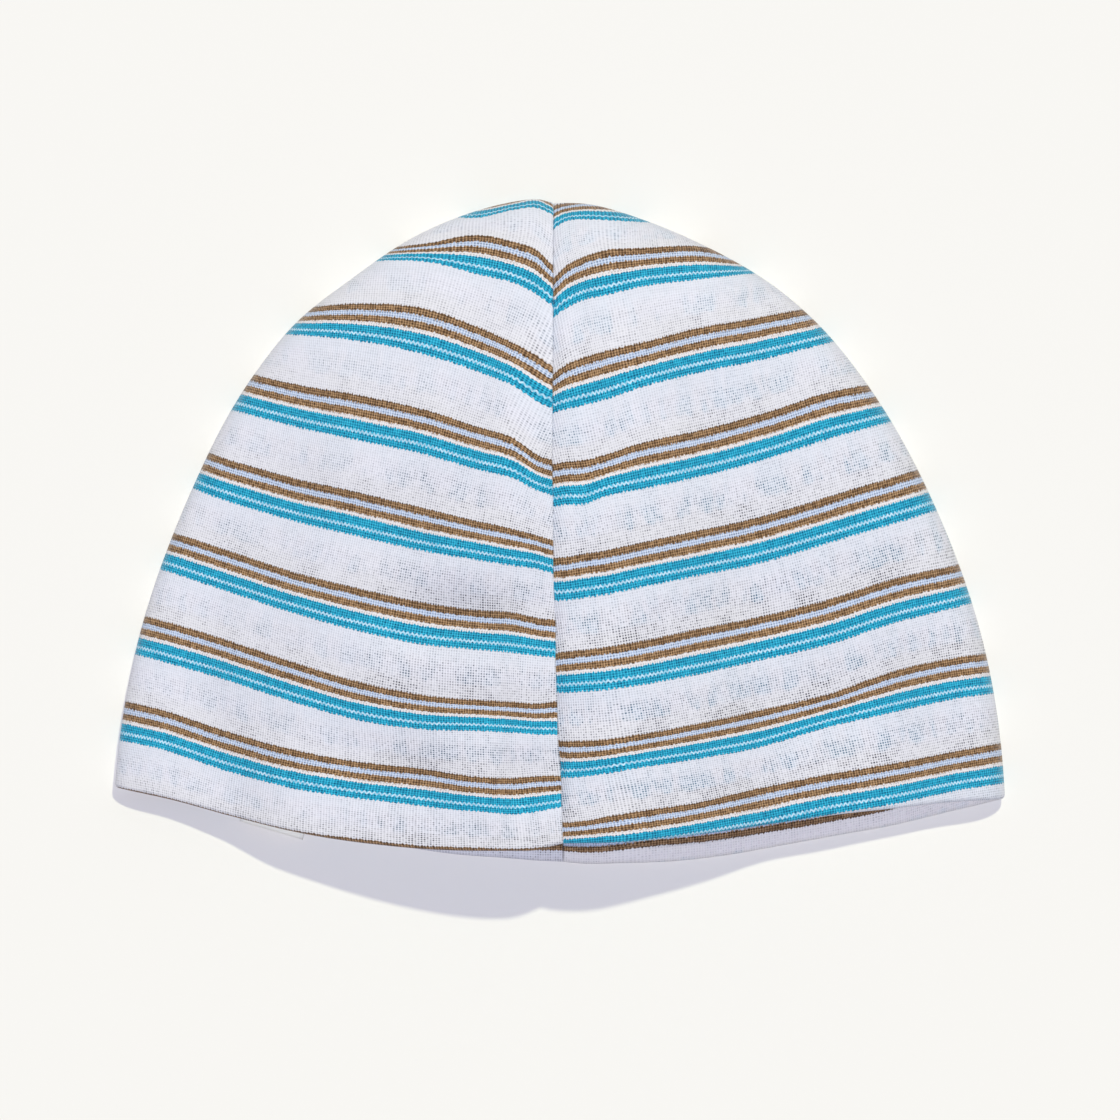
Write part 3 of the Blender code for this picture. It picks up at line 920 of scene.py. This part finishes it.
class Jersey(Nodes):
    """Striped interlock jersey, worked out in its own cloth coordinates.

    Stitches lie on a lattice of run over the stitch width and place over the stitch height.
    Its waves are 1 in the gaps, and every gap has two chances of its own. The teeth and the
    zigzag of the stripes follow a slower wave of stitch pairs.
    """

    def __init__(self, name):
        super().__init__(name)
        look = bpy.context.scene.jersey_look
        run, place = self.map_mm()
        column = (run / look.wale_mm).whole()
        row = (place / look.course_mm).whole()
        self.look = look
        self.run = run
        self.place = place
        self.rib = run.wave(look.wale_mm)
        self.knot = place.wave(look.course_mm)
        self.own = self.chance(column, row)
        self.other = self.chance(row, column + 0.5)
        self.comb = run.triangle(look.wale_mm)
        self.zig = run.triangle(look.pair_mm)
        self.height = self.height_in_repeat() + self.noise(0.09, 1.0, run, place).scale(-0.15, 0.15)

    def height_in_repeat(self):
        """Height above the last teal edge, set off by a quarter repeat to keep edges whole."""
        repeat = self.look.repeat_mm
        return (self.place * (-1 / repeat) + 0.25).fraction() * repeat - 0.25 * repeat

    def white_ground(self, slack, turns_at):
        """White jersey down from one stripe to the next, and how dark its gaps are.

        Cool and close under the teal, then bluish gaps in patches where the next layer's
        stripe lies behind, and darker neutral gaps in a warmer ground down to the brown. The
        dark of the gaps is painted shade, and faint painted shade runs along the grooves between
        stitches. The turned-in cloth takes a lighter, warmer ground, a painted bounce light. The
        slack is how open the stitches lie at the seam and farther out.
        """
        look = self.look
        run = self.run
        place = self.place
        patch = self.noise(0.16, 2.0, run * 0.4, place)
        tall = self.noise(0.32, 3.0, run, place * 0.3)
        wide = self.noise(0.20, 3.0, run, place, 7.0)
        streak = self.noise(1.3, 2.0, run, place * 0.10)
        level = self.height % look.repeat_mm + tall.scale(-LEVEL_DRIFT, LEVEL_DRIFT)
        turned_in = place.step(turns_at, turns_at + 2.0)

        warm = self.mix(0.3, 1.0 - level.step(*ZONES["neutral"]), patch.step(0.35, 0.65))
        ground = self.mix(warm, look.white, look.warm)
        ground = self.mix(level.step(*ZONES["cool"]), ground, look.cool)
        # Past turns_at the ground turns to the inner white, a painted bounce light for the cloth in
        # shade inside the cap
        ground = self.mix(turned_in, ground, look.inner)

        loose = 1.0 - level.step(*ZONES["close"]) * 0.6
        in_blue = level.step(*ZONES["blue"])
        patches = self.mix(in_blue, wide.scale(-0.05, 0.95), tall).step(0.38, 0.64)
        slack_here = run.step(*SEAM_REACH).scale(*slack)
        stretched = place.step(*CLOSE_CROWN).scale(0.50, 1.0)
        shown = turned_in.scale(1.0, 0.3)
        open_share = loose * slack_here * stretched * shown * patches.scale(0.46, 1.0)
        thread = streak.step(0.32, 0.68).scale(0.6, 1.0)
        # Dots of painted shade in the gaps between stitches, where the cloth lies open
        gap = (self.rib * self.knot) ** 0.9 * self.own.scale(0.20, 1.0)
        dot = (gap * open_share * thread * 2.2).at_most(1.0)

        blue_here = in_blue * loose * patches * slack[1]
        colour = self.mix(blue_here * 0.17, ground, look.zigzag)
        # Faint painted shade along the grooves between stitch columns and rows
        lines = self.rib.at_least(self.knot * 0.8) * shown * open_share.scale(0.07, 0.10)
        colour = self.mix(lines, colour, look.gap_shade_and_tone)
        # Stitches darkened a little at random
        colour = self.mix(self.other.scale(0.0, 0.04), colour, look.gap_shade_and_tone)
        # The dots take the painted gap shade, bluish where a teal stripe lies behind
        return self.mix(dot, colour, self.mix(blue_here, look.gap_shade_and_tone, look.blue_gap_shade)), dot

    def stripe_masks(self):
        """A mask for each stripe. Its edges are a comb of stitch heads with narrow notches.

        A notch is the square of the pairs' triangle wave, and deepest under the teal.
        """
        look = self.look
        comb = self.comb * look.comb_mm + self.height + self.own.scale(-0.12, 0.12)
        notch = (self.zig + 0.5) ** 2.0
        edge = comb - notch * (look.tooth_mm / 2)
        toothed = comb - notch * look.tooth_mm
        masks = {}
        for band, (low, high) in stripe_bands(look).items():
            lower = toothed if band == "teal" else edge
            above = lower.step(low - SOFT_EDGE, low + SOFT_EDGE)
            masks[band] = above * (1.0 - edge.step(high - SOFT_EDGE, high + SOFT_EDGE))
        return masks

    def stripe_shades(self):
        """Colours of the stripes: light stitch heads, dark gaps and a chance for each stitch.

        The stitch heads carry a painted highlight and the gaps painted shade. The upper brown
        line is darker along its upper edge and ticked with the painted shade of gaps towards the
        pale one.
        """
        look = self.look
        # Painted shade in the gaps between stitches
        gap = (self.rib * self.knot) ** 0.7 * self.own.scale(0.4, 1.1)
        # Stitch heads, lit with a painted highlight
        head_highlight = (1.0 - self.rib) * (1.0 - self.knot * 0.8) * self.other.scale(1.0, 0.25)
        brown = self.mix(self.other.scale(0.0, 0.8), look.brown, DARKER["brown"])
        brown = self.mix(gap, self.mix(head_highlight, brown, look.golden_highlight), GAP_SHADES["brown"])
        teal = self.mix(self.other.scale(0.0, 0.6), look.teal, DARKER["teal"])
        teal = self.mix(gap, self.mix(head_highlight, teal, HEAD_HIGHLIGHTS["teal"]), GAP_SHADES["teal"])
        pale = self.mix(gap * 0.85, self.mix(head_highlight, look.pale, HEAD_HIGHLIGHTS["pale"]), GAP_SHADES["pale"])
        cream = self.mix(gap * 0.5, look.cream, look.gap_shade_and_tone)
        low, high = stripe_bands(look)["brown_high"]
        ticks = (1.0 - self.height.step(low + 0.2, low + 0.8)) * self.rib.scale(0.1, 0.9)
        rim = self.height.step(high - 0.5, high - 0.1) * 0.30
        upper = self.mix(ticks.at_least(rim), brown, GAP_SHADES["brown"])
        return {"teal": teal, "cream": cream, "brown_low": brown, "pale": pale,
                "brown_high": upper}


def jersey_material(name, slack, turns_at):
    """Stripes, zigzag and slubs over the white ground, and the relief of the stitches."""
    cloth = Jersey(name)
    look = cloth.look
    colour, dot = cloth.white_ground(slack, turns_at)
    masks = cloth.stripe_masks()
    for band, shade in cloth.stripe_shades().items():
        colour = cloth.mix(masks[band], colour, shade)
    zigzag = cloth.zig * look.zigzag_mm + look.teal_mm * 0.47
    line = 1.0 - abs(cloth.height - zigzag).step(0.15, 0.40)
    colour = cloth.mix(line * cloth.own.scale(0.45, 1.0), colour, look.zigzag)
    slub = cloth.noise(0.8, 2.0, cloth.run * 0.15, cloth.place)
    colour = cloth.mix(slub.scale(-0.05, 0.07), colour, (0.02, 0.02, 0.03))
    loop = (cloth.comb * look.course_mm + cloth.place).wave(look.course_mm)
    relief = loop * 0.45 - cloth.rib - dot * 0.6
    return cloth.finish(colour, relief, depth=0.0001, strength=0.6, roughness=0.92, sheen=0.3)


def thread_material(name):
    """Overlocked edge: slanted thread passes over white jersey."""
    nodes = Nodes(name)
    along, across = nodes.map_mm()
    passes = (across * 0.6 + along).wave(0.9)
    shade = nodes.noise(2.0, 2.0, along, across).scale(0.0, 0.25)
    colour = nodes.mix(passes * 0.4, (0.62, 0.63, 0.68), (0.38, 0.38, 0.42))
    colour = nodes.mix(shade, colour, (0.30, 0.26, 0.22))
    return nodes.finish(colour, passes, depth=0.0002, strength=0.8, roughness=0.85, sheen=0.1)


def tape_material(name):
    """Blank woven satin tape: fine floats along it, a denser edge on each side."""
    nodes = Nodes(name)
    across, along = nodes.map_mm()
    floats = across.wave(0.22)
    weft = (across * 1.3 + along).wave(0.35)
    selvedge = abs(across).step(6.4, 6.7)
    colour = nodes.mix(floats * 0.08, (0.99, 0.98, 0.85), (0.66, 0.65, 0.62))
    colour = nodes.mix(selvedge * 0.35, colour, (0.74, 0.73, 0.70))
    relief = floats + weft * 0.4 + selvedge
    return nodes.finish(colour, relief, depth=0.00006, strength=0.8, roughness=0.55, sheen=0.05)


def paper_material(name):
    """Matt pale paper with a faint cloudiness."""
    nodes = Nodes(name)
    cloud = nodes.value("TexNoise", nodes.value("TexCoord", output="Object"), 0.0, 6.0)
    paper = bpy.context.scene.studio_look.paper
    nodes.put(nodes.shader["Base Color"],
              nodes.mix(cloud.scale(0.0, 0.03), paper, (0.75, 0.75, 0.76)))
    nodes.put(nodes.shader["Roughness"], 0.95)
    nodes.put(nodes.shader["Specular IOR Level"], 0.1)
    return nodes.material


def dress(piece, material, slot, *solids):
    """Give a piece its material and body, hide the solids it stands for; the slot is not used."""
    piece.data.materials.append(material)
    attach(piece, "root")
    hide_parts(*solids)


class CAP_OT_outer_cloth(Operator):
    """Make the outer cloth of both sides with its rolled hem"""

    bl_idname = "cap.outer_cloth"
    bl_label = "Outer cloth"

    def execute(self, context):
        shape = CapShape(context.scene.cap_sizes)
        for side, word in WORDS.items():
            piece = add_cloth(f"{word}_outer_cloth", *outer_sheet(shape, side),
                              flip=side == RIGHT)
            jersey = jersey_material(f"{word} jersey", SLACK[side], TURNS_AT[side])
            dress(piece, jersey, f"{word}_jersey", f"{word}_outer_panel", f"{word}_hem_fold")
        return {"FINISHED"}


class CAP_OT_lining_cloth(Operator):
    """Make the lining of both sides"""

    bl_idname = "cap.lining_cloth"
    bl_label = "Lining"

    def execute(self, context):
        shape = CapShape(context.scene.cap_sizes)
        for side, word in WORDS.items():
            piece = add_cloth(f"{word}_lining_cloth", *lining_sheet(shape, side),
                              flip=side == LEFT)
            # The whole lining takes the inner white, its painted bounce light
            jersey = jersey_material(f"{word} lining jersey", LINING_SLACK, 0.0)
            dress(piece, jersey, "lining_jersey", f"{word}_lining")
        return {"FINISHED"}


def seam_ridge(shape):
    """The sewn ridge: an oval bead carried along the seam over the crown.

    Its section is an ellipse, and its path is the seam line of the skin, sunk so that the
    bead lies between the turned edges of the outer cloth and those of the lining.
    """
    s = shape.s
    up = np.linspace(*RIDGE_CLIMB, RIDGE_RINGS)
    climb = np.concatenate([up, up[::-1]])
    around = np.repeat([RIDGE_AROUND, -RIDGE_AROUND], RIDGE_RINGS)
    depth = s.thickness / 2 + shape.seam_depth(RIGHT, around, climb, 0.0, 0)
    path = shape.behind_skin(RIGHT, around, climb, depth)
    normal = shape.normals(RIGHT, around, climb)
    angles = np.linspace(0, 2 * math.pi, RIDGE_SIDES + 1)[:-1]
    ring = (np.cos(angles)[None, :, None] * np.array([1.0, 0.0, 0.0]) * s.ridge_width / 2
            + np.sin(angles)[None, :, None] * normal[:, None, :] * s.ridge_height / 2)
    steps = np.linalg.norm(np.diff(path, axis=0), axis=-1)
    along = np.concatenate([[0.0], np.cumsum(steps)])
    return path[:, None, :] + ring, along, angles * s.ridge_width / 2


def add_tube(name, points, along, around):
    """Join rings into a closed bead, with the run along and round it as its UV map."""
    rings, count = points.shape[:2]
    grid = np.arange(rings * count).reshape(rings, count)
    after = np.roll(grid, -1, axis=1)
    quads = np.stack([grid[:-1], grid[1:], after[1:], after[:-1]], axis=-1).reshape(-1, 4)
    faces = [*quads.tolist(), grid[0].tolist(), grid[-1, ::-1].tolist()]
    flat = np.stack(np.meshgrid(along, around, indexing="ij"), axis=-1).reshape(-1, 2)
    return add_piece(name, points, faces, flat)


class CAP_OT_seam(Operator):
    """Make the sewn ridge between the two panels"""

    bl_idname = "cap.seam"
    bl_label = "Centre seam"

    def execute(self, context):
        shape = CapShape(context.scene.cap_sizes)
        piece = add_tube("seam_ridge", *seam_ridge(shape))
        dress(piece, thread_material("seam thread"), "seam_thread", "centre_seam")
        return {"FINISHED"}


def label_sheet(shape):
    """Points and flat places of the blank tape, a thin sheet that lifts at its free end.

    Two parameters run across and along it. The free end rises as the square of the run, and
    a low cosine wave crosses it.
    """
    s = shape.s
    low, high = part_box("care_label")
    turn = math.radians(LABEL_TURN)
    across = np.linspace(-1, 1, LABEL_COLUMNS)[None, :]
    along = np.linspace(0, 1, LABEL_ROWS)[:, None]
    x, y = np.broadcast_arrays(across * s.label_width / 2, along * s.label_length)
    lift = LABEL_LIFT * (1 - along) ** 2 + LABEL_WAVE * np.cos(across * 5.0) * (1 - along)
    middle = (low[0] + high[0]) / 2 + LABEL_SHIFT + s.label_length / 2 * math.sin(turn)
    out = math.degrees(math.acos(min(1.0, -middle / shape.half_width)))
    hem_y = shape.side_y - float(shape.hem_drop(LEFT, np.array([out]))[0])
    place_x = middle + x * math.cos(turn) - y * math.sin(turn)
    place_y = hem_y - s.label_shows + x * math.sin(turn) + y * math.cos(turn)
    points = np.stack([place_x, place_y, low[2] + LABEL_RISE + lift], axis=-1)
    return points, np.stack([x, y], axis=-1).reshape(-1, 2)


class CAP_OT_label(Operator):
    """Make the blank care label inside the back hem"""

    bl_idname = "cap.label"
    bl_label = "Care label"

    def execute(self, context):
        shape = CapShape(context.scene.cap_sizes)
        points, flat = label_sheet(shape)
        faces = grid_faces(LABEL_ROWS, LABEL_COLUMNS).tolist()
        piece = add_piece("care_tape", points, faces, flat, shape.s.label_tape)
        dress(piece, tape_material("label tape"), "label_tape", "care_label")
        return {"FINISHED"}


def add_sun(name, colour, strength, softness, turn):
    """A sun lamp turned by these angles from straight overhead."""
    light = bpy.data.lights.new(name, "SUN")
    light.color = colour
    light.energy = strength
    light.angle = softness
    add_object(name, light).rotation_euler = turn
    return light


class CAP_OT_stage(Operator):
    """Make the paper floor, the light and the camera"""

    bl_idname = "cap.stage"
    bl_label = "Stage"

    def execute(self, context):
        look = context.scene.studio_look
        scene = context.scene
        scene.view_settings.view_transform = "Standard"
        size = 3.0
        level = -0.0001
        mesh = bpy.data.meshes.new("paper")
        corners = [(-size, -size), (size, -size), (size, size), (-size, size)]
        mesh.from_pydata([(x, y, level) for x, y in corners], [], [(0, 1, 2, 3)])
        mesh.materials.append(paper_material("paper"))
        paper = add_object("paper", mesh)

        world = bpy.data.worlds.new("studio")
        world.use_nodes = True
        back = world.node_tree.nodes["Background"]
        back.inputs["Color"].default_value = (*look.fill, 1)
        back.inputs["Strength"].default_value = look.round_share
        scene.world = world

        add_sun("key", look.key, look.key_strength, look.key_softness, look.key_turn)
        top = add_sun("top", look.fill, (1 - look.round_share) * math.pi, 0.5, look.top_turn)
        top.use_shadow = False

        camera = bpy.data.cameras.new("camera")
        camera.lens = camera.sensor_width * look.camera_height / look.view_width
        scene.camera = add_object("camera", camera)
        scene.camera.location = (0, look.view_centre_y, look.camera_height)
        return {"FINISHED"}


class CAP_PT_parts(Panel):
    """Shows the cap's sizes, looks and building steps in the sidebar"""

    bl_idname = "CAP_PT_parts"
    bl_label = "Striped jersey cap"
    bl_space_type = "VIEW_3D"
    bl_region_type = "UI"
    bl_category = "Cap"

    def draw(self, context):
        for group in (context.scene.cap_sizes, context.scene.jersey_look,
                      context.scene.studio_look):
            box = self.layout.box()
            for name in group.__annotations__:
                box.prop(group, name)
        for step in STEPS:
            self.layout.operator(step.bl_idname)


STEPS = (CAP_OT_stage, CAP_OT_outer_cloth, CAP_OT_lining_cloth, CAP_OT_seam, CAP_OT_label)
GROUPS = {"cap_sizes": CapSizes, "jersey_look": JerseyLook, "studio_look": StudioLook}
CLASSES = (*GROUPS.values(), *STEPS, CAP_PT_parts)


def register():
    for item in CLASSES:
        bpy.utils.register_class(item)
    for name, group in GROUPS.items():
        setattr(bpy.types.Scene, name, PointerProperty(type=group))


def unregister():
    for name in GROUPS:
        delattr(bpy.types.Scene, name)
    for item in reversed(CLASSES):
        bpy.utils.unregister_class(item)


def main():
    register()
    bpy.ops.cap.stage()
    bpy.ops.cap.outer_cloth()
    bpy.ops.cap.lining_cloth()
    bpy.ops.cap.seam()
    bpy.ops.cap.label()


if __name__ == "__main__":
    main()
